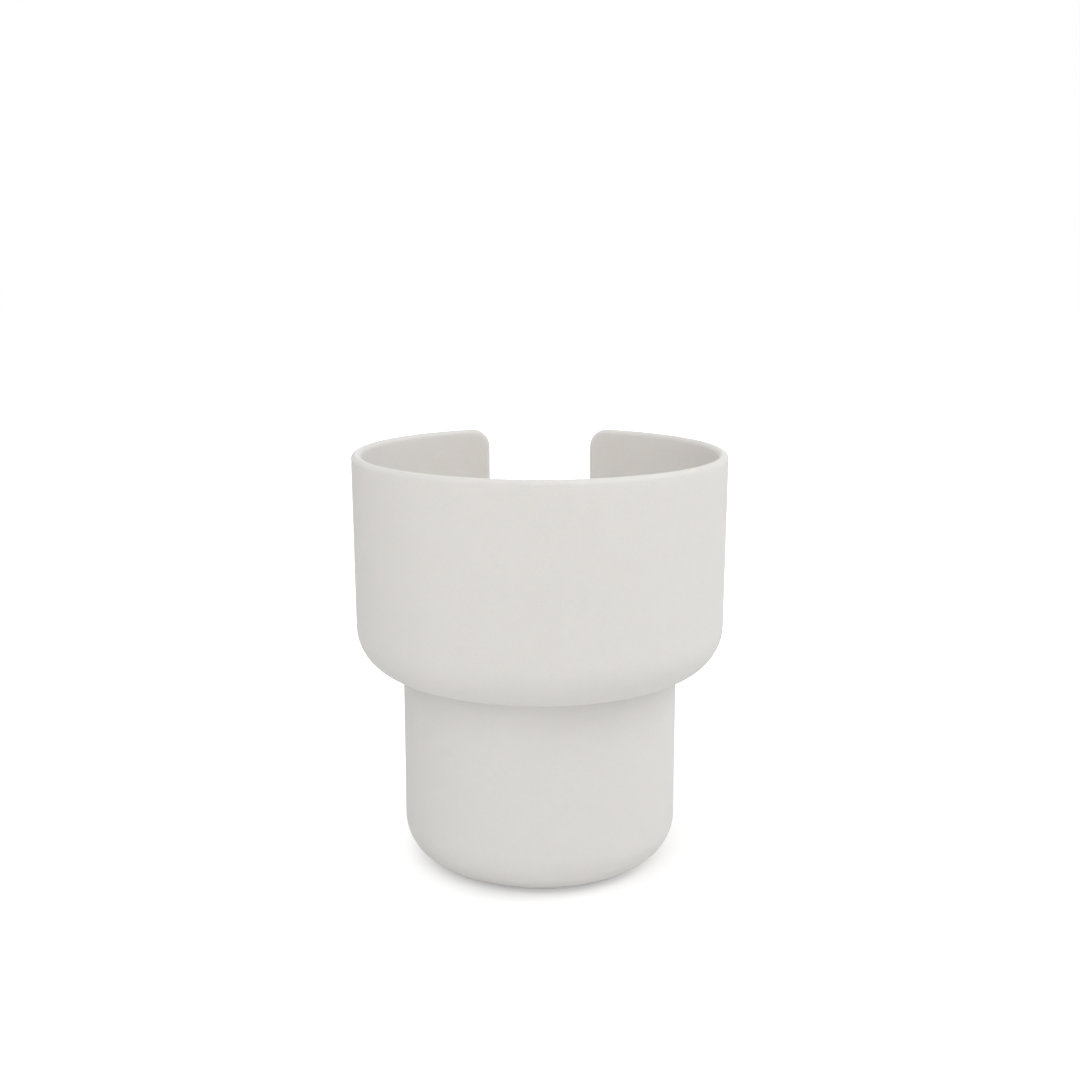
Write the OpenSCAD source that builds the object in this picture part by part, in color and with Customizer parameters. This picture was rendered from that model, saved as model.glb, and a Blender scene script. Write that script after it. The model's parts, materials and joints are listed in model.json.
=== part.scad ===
// Cup holder expander: one soft moulding that stands a wide bottle or mug in a narrow holder.
// The spigot drops into the vehicle's holder, the upper cup takes the bottle, and a slot that is
// open at the rim lets a mug's handle through. Millimetres, Z up, origin at the centre of the base,
// slot facing +Y.

/* [Upper cup] */
// Inner diameter of the upper cup, which is straight so that a bottle slides to the shelf
socket_d = 91.8; // [88:0.2:104]
// Wall thickness at the rim, and all the way down the spigot
wall = 2.5; // [1.8:0.1:3.4]
// Draft of the upper cup's outer wall, in degrees
draft = 0.5; // [0:0.1:1]
// Height of the whole moulding
height = 108.5; // [100:0.5:130]
// Outer radius of the shoulder, where the upper cup turns in to the spigot
shoulder_r = 11.7; // [5:0.1:14]

/* [Spigot] */
// Outer diameter of the spigot that drops into the vehicle's holder
spigot_d = 72; // [62:0.5:74]
// Height of the spigot, from the base to the underside of the shoulder
spigot_h = 51.8; // [36:0.2:54]
// Outer radius of the spigot's bottom edge
base_r = 11.4; // [4:0.1:16]
// Thickness of the closed floor
floor_t = 3; // [1.6:0.1:5]

/* [Handle slot] */
// Clear width of the slot between its rounded edges
slot_w = 28.9; // [20:0.1:40]
// Height of full wall left between the shoulder's curve and the foot of the slot
slot_sill = 3; // [1:0.5:16]
// Radius of the two corners where the slot opens into the rim
slot_top_r = 5.2; // [3:0.1:8]
// Radius of the two corners at the foot of the slot
slot_foot_r = 7; // [3:0.1:9]

/* [Hidden] */
body_colour = [0.86, 0.85, 0.83];

// Facets of a full turn, of the small radii, and of the half round on the slot's edge
turn_facets = 180;
fillet_facets = 96;
bead_facets = 12;
// Facets of one corner of the slot, and of the level stretch at its foot
corner_steps = 8;
foot_steps = 10;
// How far cutting shapes run past the surface that they cut
past = 2;
// The slot's rounded edge lies this much inside the wall's two faces, so that it blends into them
blend = 0.02;
// How deep the rounded edge is rooted in the wall behind it, and how far the wall is cut back for it
root = 0.5;
cut_back = 0.2;

socket_r = socket_d / 2;
spigot_r = spigot_d / 2;
rim_r = socket_r + wall;

// Outer radius of the upper cup at a height
function outer_r(z) = rim_r - (height - z) * tan(draft);
// Middle and half thickness of the upper cup's wall at a height
function middle_r(z) = (socket_r + outer_r(z)) / 2;
function half_wall(z) = (outer_r(z) - socket_r) / 2;

// The lip is a full round that touches both faces of the wall
lip_r = wall / (1 + 1 / cos(draft) + tan(draft));
lip_z = height - lip_r;

// The shoulder's radius is limited by the step between the upper cup and the spigot
shoulder_most = (outer_r(spigot_h) - spigot_r) / (1 / cos(draft) - tan(draft));
shoulder_fit = min(shoulder_r, shoulder_most);
// Inside, the wall follows the outside: the shelf lies one wall above the shoulder's underside
shelf_z = spigot_h + wall;
shelf_r = max(shoulder_fit - wall, wall / 2);
hollow_r = spigot_r - wall;
hollow_corner_r = max(base_r - wall, wall / 2);

// The slot's rounded edge runs down the middle of the wall. Its line is laid out flat, as [distance
// round the wall from the slot's middle, height], and wrapped onto the wall.
edge_a = asin(slot_w / 2 / norm([middle_r(lip_z), lip_r])) + atan(lip_r / middle_r(lip_z));
edge_x = middle_r(lip_z) * edge_a * PI / 180;
slot_bottom_z = spigot_h + shoulder_fit + slot_sill;
foot_z = slot_bottom_z - half_wall(slot_bottom_z);
top_turn_r = slot_top_r - lip_r;
foot_turn_r = slot_foot_r + half_wall(foot_z);

// Points of an arc from one angle to another
function arc(centre, radius, from, to, steps) = [
    for (i = [0:steps])
        let (a = from + (to - from) * i / steps)
            centre + radius * [cos(a), sin(a)]
];

// Half of the slot's line, moved back into the wall: from the rim down, and round its foot to the middle
function half_line(back) = concat(
    arc([edge_x + top_turn_r, lip_z - top_turn_r], top_turn_r - back, 90, 180, corner_steps),
    arc([edge_x - foot_turn_r, foot_z + foot_turn_r], foot_turn_r + back, 0, -90, corner_steps),
    [for (i = [1:foot_steps / 2]) [(edge_x - foot_turn_r) * (1 - 2 * i / foot_steps), foot_z - back]]
);
function and_mirrored(line) = concat(line, [for (i = [len(line) - 2:-1:0]) [-line[i].x, line[i].y]]);

// Angle from +Y, in degrees, of a distance round the wall
function wrap_a(x) = x / middle_r(lip_z) * 180 / PI;
function out_of_wall(x) = [sin(wrap_a(x)), cos(wrap_a(x)), 0];
function on_wall(p) = middle_r(p.y) * out_of_wall(p.x) + [0, 0, p.y];
function unit(v) = v / norm(v);

// Half section of a cup from its axis: a drafted wall that ends at the first point of top, a rounded
// bottom corner, and the rest of top as the way back to the axis
module cup_section(top, bottom_z, corner_r, cup_draft) {
    corner_z = bottom_z + corner_r;
    corner_x = top[0].x - (top[0].y - corner_z) * tan(cup_draft) - corner_r / cos(cup_draft);
    corner = [corner_x, corner_z];
    touch = corner + corner_r * [cos(cup_draft), -sin(cup_draft)];
    polygon(concat([[0, bottom_z], [corner_x, bottom_z], corner, touch], top));
    translate(corner) circle(corner_r, $fn = fillet_facets);
}

// Half section of the moulding's outside, with the full round lip
module outside_section() {
    lip = [socket_r + lip_r, lip_z];
    lip_touch = lip + lip_r * [cos(draft), -sin(draft)];
    cup_section([lip_touch, lip, [0, lip_z]], spigot_h, shoulder_fit, draft);
    translate(lip) circle(lip_r, $fn = fillet_facets);
    cup_section([[spigot_r, shelf_z], [0, shelf_z]], 0, base_r, 0);
}

// Half section of the hollow: upper cup, rounded step down and the inside of the spigot
module inside_section() {
    open_z = height + past;
    step_z = shelf_z - wall;
    cup_section([[socket_r, open_z], [0, open_z]], shelf_z, shelf_r, 0);
    cup_section([[hollow_r, shelf_z + past], [0, shelf_z + past]], floor_t, hollow_corner_r, 0);
    difference() {
        translate([hollow_r - past, step_z]) square(wall + past);
        translate([spigot_r, step_z]) circle(wall, $fn = fillet_facets);
    }
}

module cup_shell() {
    rotate_extrude($fn = turn_facets) difference() {
        outside_section();
        inside_section();
    }
}

// What the slot takes out of the wall: its sides point at the cup's axis
module slot_cut() {
    near = socket_r / 2;
    far = rim_r + past;
    top = height + past;
    line = half_line(cut_back);
    outline = and_mirrored(concat([[line[0].x, top]], line));
    flat = [for (p = outline) [near * tan(wrap_a(p.x)), p.y]];
    translate([0, near, 0]) rotate([90, 0, 180])
        linear_extrude(far - near, scale = [far / near, 1]) polygon(flat);
}

// The slot's rounded edge: a half round swept along the middle of the cut wall
module slot_edge() {
    line = and_mirrored(concat([half_line(0)[0] + [root, 0]], half_line(0)));
    last = len(line) - 1;
    spots = [for (p = line) on_wall(p)];
    ring = bead_facets + 3;
    points = [for (i = [0:last]) let (
        ahead = unit(spots[min(i + 1, last)] - spots[max(i - 1, 0)]),
        outward = out_of_wall(line[i].x),
        to_gap = unit(cross(outward, ahead)),
        reach = half_wall(line[i].y) - blend,
        half_round = arc([0, 0], reach, 0, 180, bead_facets),
        section = concat(half_round, [[-reach, -root], [reach, -root]])
    ) each [for (p = section) spots[i] + p.x * outward + p.y * to_gap]];
    skin = [for (i = [0:last - 1], k = [0:ring - 1]) let (
        a = i * ring + k,
        b = i * ring + (k + 1) % ring
    ) each [[a, b, a + ring], [b, b + ring, a + ring]]];
    caps = [[for (k = [ring - 1:-1:0]) k], [for (k = [0:ring - 1]) last * ring + k]];
    polyhedron(points, concat(skin, caps), convexity = 4);
}

module expander_body() {
    color(body_colour) union() {
        difference() {
            cup_shell();
            slot_cut();
        }
        slot_edge();
    }
}

expander_body();
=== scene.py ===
"""Looks of a cup holder expander, a single soft moulding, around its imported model.

The moulding's wall is laid out flat with its slot, its round edge is stepped in, and the sheet is
wrapped into the two skins of the upper cup. Shoulder, spigot and floor are spun below it.
"""

import json
import logging
from dataclasses import dataclass
from enum import Enum
from math import asin, atan, cos, hypot, pi, radians, sin, sqrt, tan
from typing import Any

import bmesh
import bpy
from mathutils import Euler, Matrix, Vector


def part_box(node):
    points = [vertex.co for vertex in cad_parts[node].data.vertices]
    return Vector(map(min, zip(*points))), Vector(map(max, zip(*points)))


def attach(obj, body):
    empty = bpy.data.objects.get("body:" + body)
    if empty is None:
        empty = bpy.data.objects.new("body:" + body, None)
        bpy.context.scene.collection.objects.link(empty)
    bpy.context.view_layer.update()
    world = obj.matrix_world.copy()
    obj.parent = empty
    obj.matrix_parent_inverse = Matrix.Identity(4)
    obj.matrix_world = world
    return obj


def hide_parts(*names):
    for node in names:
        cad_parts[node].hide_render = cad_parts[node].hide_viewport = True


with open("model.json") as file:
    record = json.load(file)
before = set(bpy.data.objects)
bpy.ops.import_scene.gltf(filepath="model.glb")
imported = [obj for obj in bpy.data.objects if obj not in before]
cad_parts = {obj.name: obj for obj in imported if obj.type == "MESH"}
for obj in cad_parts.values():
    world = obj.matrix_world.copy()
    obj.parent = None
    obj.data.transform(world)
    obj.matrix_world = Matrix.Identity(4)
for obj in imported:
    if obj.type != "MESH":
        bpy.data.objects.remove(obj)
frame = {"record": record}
log = logging.getLogger("expander")

BODY = "root"
NODE = "expander_body"
MM = 0.001
WHITE = (1.0, 1.0, 1.0, 1.0)


class Skin(Enum):
    """The two skins of the upper cup's wall, by the side of its middle that they lie on."""

    OUTSIDE = 1
    INSIDE = -1


def mount(name: str) -> dict:
    """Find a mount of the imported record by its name."""
    return next(m for m in frame["record"]["mounts"] if m["name"] == name)


@dataclass
class Moulding:
    """The whole expander: upper cup, shoulder, spigot and handle slot, in metres.

    The sizes are those of the solid that it stands for, with the crease over the spigot softened. The
    steps say how finely a full turn, the round edge and the corners are divided, and row how tall a
    face of the wall is. A cut nearer than snap to a point goes through it, and points nearer than
    weld become one.
    """

    height: float
    socket_r: float
    spigot_r: float
    wall: float = 2.5 * MM
    draft: float = radians(0.5)
    shoulder_r: float = 11.7 * MM
    spigot_h: float = 51.8 * MM
    crease_r: float = 0.25 * MM
    base_r: float = 11.4 * MM
    floor_t: float = 3 * MM
    slot_w: float = 28.9 * MM
    slot_sill: float = 3 * MM
    slot_top_r: float = 5.2 * MM
    slot_foot_r: float = 7 * MM
    turn_steps: int = 240
    edge_steps: int = 7
    corner_steps: int = 14
    fillet_steps: int = 14
    crease_steps: int = 3
    row: float = 3 * MM
    snap: float = 0.1 * MM
    weld: float = 0.001 * MM

    def __post_init__(self) -> None:
        """Work out the places that follow from the sizes."""
        self.rim_r = self.socket_r + self.wall
        self.lip_r = self.wall / (1 + 1 / cos(self.draft) + tan(self.draft))
        self.lip_z = self.height - self.lip_r
        self.shelf_z = self.spigot_h + self.wall
        self.shoulder_top = self.spigot_h + self.shoulder_r
        self.sheet_foot = self.shoulder_top + self.lip_r / 2
        self.flat_r = self.middle_r(self.lip_z)
        edge_a = asin(self.slot_w / 2 / hypot(self.flat_r, self.lip_r)) + atan(self.lip_r / self.flat_r)
        self.slot_x = self.flat_r * edge_a - self.lip_r
        self.slot_z = self.shoulder_top + self.slot_sill

    def outer_r(self, z: float) -> float:
        """Outer radius of the upper cup at a height."""
        return self.rim_r - (self.height - z) * tan(self.draft)

    def middle_r(self, z: float) -> float:
        """Radius of the middle of the upper cup's wall at a height."""
        return (self.socket_r + self.outer_r(z)) / 2

    def half_wall(self, z: float) -> float:
        """Half of the upper cup's wall thickness at a height."""
        return (self.outer_r(z) - self.socket_r) / 2

    def build(self) -> bpy.types.Object:
        """Make the moulding's mesh.

        Returns:
            The finished object, at the origin.
        """
        bm = bmesh.new()
        for skin in Skin:
            self.add_wall(bm, skin)
        self.add_turned(bm, self.outside_line())
        self.add_turned(bm, self.inside_line())
        bmesh.ops.remove_doubles(bm, verts=bm.verts[:], dist=self.weld)
        bmesh.ops.recalc_face_normals(bm, faces=bm.faces[:])
        mesh = bpy.data.meshes.new("moulding")
        bm.to_mesh(mesh)
        bm.free()
        mesh.shade_smooth()
        moulding = bpy.data.objects.new("moulding", mesh)
        bpy.context.scene.collection.objects.link(moulding)
        return moulding

    def add_wall(self, bm: bmesh.types.BMesh, skin: Skin) -> None:
        """Add one skin of the upper cup's wall, with its half of the round edge.

        Args:
            bm: the mesh that it goes into.
            skin: which side of the wall it is.
        """
        sheet = self.flat_sheet()
        inward = sheet.verts.layers.float["inward"]
        for v in sheet.verts:
            full = 1 - min(v[inward] / self.lip_r, 1)
            depth = skin.value * self.half_wall(v.co.z) * sqrt(1 - full * full)
            around = v.co.x / self.flat_r
            r = self.middle_r(v.co.z) + depth
            v.co = (r * sin(around), r * cos(around), v.co.z)
        self.join(bm, sheet)

    def flat_sheet(self) -> bmesh.types.BMesh:
        """Lay the upper cup's wall out flat, slot in the middle, with loops that follow its edge.

        Returns:
            A sheet in the XZ plane, whose layer "inward" says how far a point is from the edge.
        """
        bm = bmesh.new()
        inward = bm.verts.layers.float.new("inward")
        face = self.slotted_face(bm)
        reached = 0.0
        for i in range(1, self.edge_steps + 1):
            depth = self.lip_r * (1 - cos(pi / 2 * i / self.edge_steps))
            bmesh.ops.inset_region(
                bm, faces=[face], thickness=depth - reached, use_even_offset=True, use_boundary=True
            )
            reached = depth
            for v in face.verts:
                v[inward] = depth
        half_turn = pi * self.flat_r
        self.cut(bm, (half_turn, 0, 0), (1, 0, 0), trim=True)
        self.cut(bm, (-half_turn, 0, 0), (-1, 0, 0), trim=True)
        self.cut(bm, (0, 0, self.sheet_foot), (0, 0, -1), trim=True)
        for i in range(1, self.turn_steps):
            self.cut(bm, (half_turn * (2 * i / self.turn_steps - 1), 0, 0), (1, 0, 0))
        rows = round((self.height - self.sheet_foot) / self.row)
        for i in range(1, rows):
            self.cut(bm, (0, 0, self.sheet_foot + i * self.row), (0, 0, 1))
        return bm

    def slotted_face(self, bm: bmesh.types.BMesh) -> bmesh.types.BMFace:
        """Make the flat outline of the wall, past its seam and foot, with the slot's round corners.

        Args:
            bm: the mesh that it goes into.

        Returns:
            Its single face.
        """
        side = pi * self.flat_r + self.shoulder_r
        foot = self.sheet_foot - self.shoulder_r
        right = [(side, foot), (side, self.height), (self.slot_x, self.height), (self.slot_x, self.slot_z)]
        outline = right + [(-x, z) for x, z in reversed(right)]
        corners = [bm.verts.new((x, 0, z)) for x, z in outline]
        bm.faces.new(corners)
        top_right, foot_right, foot_left, top_left = corners[2:-2]
        for pair, radius in (
            ([top_right, top_left], self.slot_top_r), ([foot_right, foot_left], self.slot_foot_r),
        ):
            bmesh.ops.bevel(
                bm, geom=pair, offset=radius, offset_type="OFFSET", affect="VERTICES",
                segments=self.corner_steps, profile=0.5, material=-1, clamp_overlap=False,
            )
        return max(bm.faces, key=lambda f: f.calc_area())

    def cut(self, bm: bmesh.types.BMesh, point: tuple, normal: tuple, trim: bool = False) -> None:
        """Cut the flat sheet along a plane.

        Args:
            bm: the sheet.
            point: a point of the plane.
            normal: the plane's normal.
            trim: also take away what lies on the normal's side.
        """
        bmesh.ops.bisect_plane(
            bm, geom=bm.verts[:] + bm.edges[:] + bm.faces[:], dist=self.weld if trim else self.snap,
            plane_co=point, plane_no=normal, clear_outer=trim,
        )

    def outside_line(self) -> list[tuple[float, float, float]]:
        """Set out the outside's half section below the wall.

        Returns:
            Its corners, as radius, height and rounding.
        """
        return [
            (self.outer_r(self.sheet_foot), self.sheet_foot, 0),
            (self.outer_r(self.spigot_h), self.spigot_h, self.shoulder_r),
            (self.spigot_r, self.spigot_h, self.crease_r),
            (self.spigot_r, 0, self.base_r),
            (0, 0, 0),
        ]

    def inside_line(self) -> list[tuple[float, float, float]]:
        """Set out the inside's half section below the wall.

        Returns:
            Its corners, as radius, height and rounding.
        """
        hollow_r = self.spigot_r - self.wall
        return [
            (self.socket_r, self.sheet_foot, 0),
            (self.socket_r, self.shelf_z, self.shoulder_r - self.wall),
            (hollow_r, self.shelf_z, self.wall),
            (hollow_r, self.floor_t, self.base_r - self.wall),
            (0, self.floor_t, 0),
        ]

    def add_turned(self, bm: bmesh.types.BMesh, line: list[tuple[float, float, float]]) -> None:
        """Round a half section's corners and spin it into a skin.

        Args:
            bm: the mesh that it goes into.
            line: the section's corners, as radius, height and rounding.
        """
        section = bmesh.new()
        corners = [section.verts.new((0, r, z)) for r, z, _ in line]
        for ends in zip(corners, corners[1:]):
            section.edges.new(ends)
        places = [v.co.copy() for v in corners]
        for i, (_, _, rounding) in enumerate(line):
            if rounding:
                half = (places[i - 1] - places[i]).angle(places[i + 1] - places[i]) / 2
                steps = self.crease_steps if rounding == self.crease_r else self.fillet_steps
                bmesh.ops.bevel(
                    section, geom=[corners[i]], offset=rounding / tan(half), offset_type="OFFSET",
                    affect="VERTICES", segments=steps, profile=0.5, material=-1, clamp_overlap=False,
                )
        for edge in section.edges[:]:
            cuts = int(edge.calc_length() / self.row)
            if cuts:
                bmesh.ops.subdivide_edges(section, edges=[edge], cuts=cuts)
        bmesh.ops.spin(
            section, geom=section.verts[:] + section.edges[:], cent=(0, 0, 0), axis=(0, 0, 1),
            angle=2 * pi, steps=self.turn_steps, use_merge=True,
        )
        self.join(bm, section)

    def join(self, bm: bmesh.types.BMesh, part: bmesh.types.BMesh) -> None:
        """Add a part's mesh to another and free it.

        Args:
            bm: the mesh that it goes into.
            part: the mesh that is added.
        """
        mesh = bpy.data.meshes.new("part")
        part.to_mesh(mesh)
        part.free()
        bm.from_mesh(mesh)
        bpy.data.meshes.remove(mesh)


class Nodes:
    """A node tree that is being filled: adds shader nodes by type and links them as they come."""

    def __init__(self, tree: bpy.types.NodeTree) -> None:
        """Empty the tree and keep it."""
        self.tree = tree
        tree.nodes.clear()

    def add(self, kind: str, inputs: dict[str | int, Any] | None = None, **settings: Any) -> bpy.types.Node:
        """Add a node.

        Args:
            kind: the node's type, without the "ShaderNode" that each type here starts with.
            inputs: for each input that isn't left as it is, its value or the output that it is linked to.
            settings: the node's own properties.

        Returns:
            The new node.
        """
        node = self.tree.nodes.new("ShaderNode" + kind)
        for key, value in settings.items():
            setattr(node, key, value)
        for key, value in (inputs or {}).items():
            if isinstance(value, bpy.types.NodeSocket):
                self.tree.links.new(value, node.inputs[key])
            else:
                node.inputs[key].default_value = value
        return node

    def seen_directly(self) -> bpy.types.NodeSocket:
        """Add a factor that tells what is seen from what only gets light.

        Returns:
            A value that is 1 for the camera's, mirrored and refracted rays, and 0 for all others.
        """
        path = self.add("LightPath").outputs
        seen = path["Is Camera Ray"]
        for bent in ("Is Glossy Ray", "Is Transmission Ray"):
            seen = self.add("Math", {0: seen, 1: path[bent]}, operation="MAXIMUM").outputs[0]
        return seen


@dataclass(frozen=True)
class Silicone:
    """Matte soft-touch silicone: a pale warm grey, faintly clouded, with a fine moulded grain.

    Lengths are in metres. Clouding is the share of the colour by which it varies at random; the grain's
    painted shade is the share by which the colour is darker in the grain's hollows and lighter on its tops.
    """

    colour: tuple[float, float, float] = (0.795, 0.78, 0.759)
    clouding: float = 0.015
    cloud_size: float = 11 * MM
    cloud_layers: float = 3
    roughness: float = 0.8
    roughness_drift: float = 0.06
    grain_size: float = 0.5 * MM
    grain_depth: float = 0.06 * MM
    # painted shade of the grain: how much darker its hollows and lighter its tops are coloured
    painted_grain_shade: float = 0.03
    grain_layers: float = 2
    wave_size: float = 16 * MM
    wave_depth: float = 0.05 * MM
    translucency: float = 0.45
    light_reach: float = 3 * MM
    reach_by_colour: tuple[float, float, float] = (1.0, 0.85, 0.7)
    specular: float = 0.12

    def material(self) -> bpy.types.Material:
        """Make the material.

        Returns:
            A material in object coordinates, which are metres on a finished piece.
        """
        material = bpy.data.materials.new("silicone")
        material.use_nodes = True
        nodes = Nodes(material.node_tree)
        cloud = self.noise(nodes, self.cloud_size, self.cloud_layers)
        grain = self.noise(nodes, self.grain_size, self.grain_layers)
        wave = self.noise(nodes, self.wave_size)
        tint = nodes.add("ValToRGB", {0: cloud})
        for stop, side in zip(tint.color_ramp.elements, (-1, 1)):
            stop.color = tuple(c * (1 + side * self.clouding) for c in self.colour) + (1.0,)
        # painted shade of the grain's hollows: the colour is scaled down where the grain's bump is low and
        # up where it is high
        grain_shade_factor = nodes.add("MapRange", {
            "Value": grain, "To Min": 1 - self.painted_grain_shade, "To Max": 1 + self.painted_grain_shade,
        })
        colour = nodes.add(
            "VectorMath", {0: tint.outputs["Color"], "Scale": grain_shade_factor.outputs["Result"]}, operation="SCALE",
        )
        gloss = nodes.add("MapRange", {
            "Value": grain,
            "To Min": self.roughness - self.roughness_drift,
            "To Max": self.roughness + self.roughness_drift,
        })
        waves = nodes.add("Bump", {"Height": wave, "Distance": self.wave_depth})
        grains = nodes.add("Bump", {
            "Height": grain, "Distance": self.grain_depth, "Normal": waves.outputs["Normal"],
        })
        shader = nodes.add("BsdfPrincipled", {
            "Base Color": colour.outputs["Vector"],
            "Roughness": gloss.outputs["Result"],
            "Normal": grains.outputs["Normal"],
            "Subsurface Weight": self.translucency,
            "Subsurface Radius": self.reach_by_colour,
            "Subsurface Scale": self.light_reach,
            "Specular IOR Level": self.specular,
        })
        nodes.add("OutputMaterial", {"Surface": shader.outputs["BSDF"]})
        return material

    def noise(self, nodes: Nodes, size: float, layers: float = 0) -> bpy.types.NodeSocket:
        """Add a noise in the piece's own coordinates.

        Args:
            nodes: the tree that it goes into.
            size: rough size of its marks, in metres.
            layers: how many finer layers lie on it.

        Returns:
            Its value, from 0 to 1.
        """
        place = nodes.add("TexCoord").outputs["Object"]
        return nodes.add("TexNoise", {"Vector": place, "Scale": 1 / size, "Detail": layers}).outputs["Fac"]


@dataclass(frozen=True)
class Softbox:
    """A square area lamp that faces the middle of the moulding.

    Its azimuth is counted from the camera's side of the moulding towards the right. Angles are in
    degrees, lengths in metres and the power in watts.
    """

    name: str
    azimuth: float
    elevation: float
    power: float
    distance: float = 1.1
    side: float = 0.7

    def hang(self, target: Vector) -> bpy.types.Object:
        """Add the lamp to the scene.

        Args:
            target: the point that it faces.

        Returns:
            The lamp.
        """
        light = bpy.data.lights.new(self.name, "AREA")
        light.size = self.side
        light.energy = self.power
        lamp = bpy.data.objects.new(self.name, light)
        turn = Euler((-radians(self.elevation), 0, radians(self.azimuth)))
        away = Vector((0, -self.distance, 0))
        away.rotate(turn)
        lamp.location = target + away
        lamp.rotation_euler = away.to_track_quat("Z", "Y").to_euler()
        bpy.context.scene.collection.objects.link(lamp)
        return lamp


@dataclass(frozen=True)
class Studio:
    """A white floor and surround, soft lamps, and a camera where the photograph was taken.

    The camera sees the floor glow, least within glow_from of its centre and fully from glow_full on,
    so that the floor is white out of the shadow. Lens and sensor are in millimetres.
    """

    camera_place: tuple[float, float, float] = (0.05 * MM, -383.6 * MM, 162.75 * MM)
    camera_tilt: float = radians(78.534)
    lens: float = 50.0
    sensor: float = 36.0
    nearest: float = 10 * MM
    target: tuple[float, float, float] = (0.0, 0.0, 55 * MM)
    surround: float = 0.28
    floor_r: float = 3.0
    floor_sides: int = 96
    floor_gap: float = 0.05 * MM
    floor_white: float = 0.83
    floor_glow: float = 0.3
    glow_centre: tuple[float, float, float] = (6 * MM, 0.0, 0.0)
    glow_from: float = 34 * MM
    glow_full: float = 85 * MM
    softboxes: tuple[Softbox, ...] = (
        Softbox("front", 0, 35, 2.2),
        Softbox("front_high", 0, 62, 2.0),
        Softbox("front_low", 0, 12, 1.5),
        Softbox("right", 90, 35, 3.8),
        Softbox("left", -60, 35, 1.6),
        Softbox("back", 180, 20, 2.3),
        Softbox("back_left", -135, 35, 1.5),
        Softbox("back_right", 135, 20, 1.2),
    )

    def build(self) -> None:
        """Light the scene, lay the floor and place the camera."""
        for softbox in self.softboxes:
            lamp = softbox.hang(Vector(self.target))
            log.info("lamp %s: %.1f W", lamp.name, lamp.data.energy)
        self.light_surround()
        self.lay_floor()
        self.place_camera()

    def light_surround(self) -> None:
        """Make the world an even pale light that the camera sees as white."""
        world = bpy.data.worlds.new("surround")
        world.use_nodes = True
        bpy.context.scene.world = world
        nodes = Nodes(world.node_tree)
        strength = nodes.add("MapRange", {
            "Value": nodes.seen_directly(), "To Min": self.surround, "To Max": 1.0,
        })
        light = nodes.add("Background", {"Color": WHITE, "Strength": strength.outputs["Result"]})
        nodes.add("OutputWorld", {"Surface": light.outputs[0]})

    def lay_floor(self) -> bpy.types.Object:
        """Lay a round floor just under the moulding.

        Returns:
            The floor.
        """
        bm = bmesh.new()
        bmesh.ops.create_circle(
            bm, cap_ends=True, cap_tris=True, segments=self.floor_sides, radius=self.floor_r,
        )
        bmesh.ops.translate(bm, verts=bm.verts[:], vec=(0, 0, -self.floor_gap))
        mesh = bpy.data.meshes.new("floor")
        bm.to_mesh(mesh)
        bm.free()
        mesh.materials.append(self.floor_paint())
        floor = bpy.data.objects.new("floor", mesh)
        bpy.context.scene.collection.objects.link(floor)
        return floor

    def floor_paint(self) -> bpy.types.Material:
        """Make the floor's paint: matte white, lifted for the camera so that it is white out of the shadow.

        Returns:
            The material.
        """
        material = bpy.data.materials.new("floor_paint")
        material.use_nodes = True
        nodes = Nodes(material.node_tree)
        place = nodes.add("TexCoord").outputs["Object"]
        away = nodes.add("VectorMath", {0: place, 1: self.glow_centre}, operation="DISTANCE")
        lift = nodes.add("MapRange", {
            "Value": away.outputs["Value"], "From Min": self.glow_from, "From Max": self.glow_full,
            "To Min": self.floor_glow, "To Max": 1.0,
        })
        seen = nodes.add(
            "Math", {0: lift.outputs["Result"], 1: nodes.seen_directly()}, operation="MULTIPLY",
        )
        matte = nodes.add("BsdfDiffuse", {"Color": (self.floor_white,) * 3 + (1.0,)})
        glow = nodes.add("Emission", {"Color": WHITE, "Strength": seen.outputs[0]})
        paint = nodes.add("AddShader", {0: matte.outputs[0], 1: glow.outputs[0]})
        nodes.add("OutputMaterial", {"Surface": paint.outputs[0]})
        return material

    def place_camera(self) -> None:
        """Put the camera where the photograph was taken from."""
        lens = bpy.data.cameras.new("camera")
        lens.lens = self.lens
        lens.sensor_width = self.sensor
        lens.clip_start = self.nearest
        camera = bpy.data.objects.new("camera", lens)
        camera.location = self.camera_place
        camera.rotation_euler = Euler((self.camera_tilt, 0, 0))
        scene = bpy.context.scene
        scene.collection.objects.link(camera)
        scene.camera = camera
        scene.view_settings.view_transform = "Standard"


def main() -> None:
    """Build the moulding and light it."""
    logging.basicConfig(level=logging.INFO, format="%(name)s: %(message)s")
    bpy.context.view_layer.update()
    moulding = Moulding(
        height=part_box(NODE)[1].z,
        socket_r=mount("bottle_socket")["dims"]["r_mm"] * MM,
        spigot_r=mount("holder_spigot")["dims"]["r_mm"] * MM,
    )
    piece = moulding.build()
    piece.data.materials.append(Silicone().material())
    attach(piece, BODY)
    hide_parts(NODE)
    log.info("%s: %d faces", piece.name, len(piece.data.polygons))
    Studio().build()


if __name__ == "__main__":
    main()
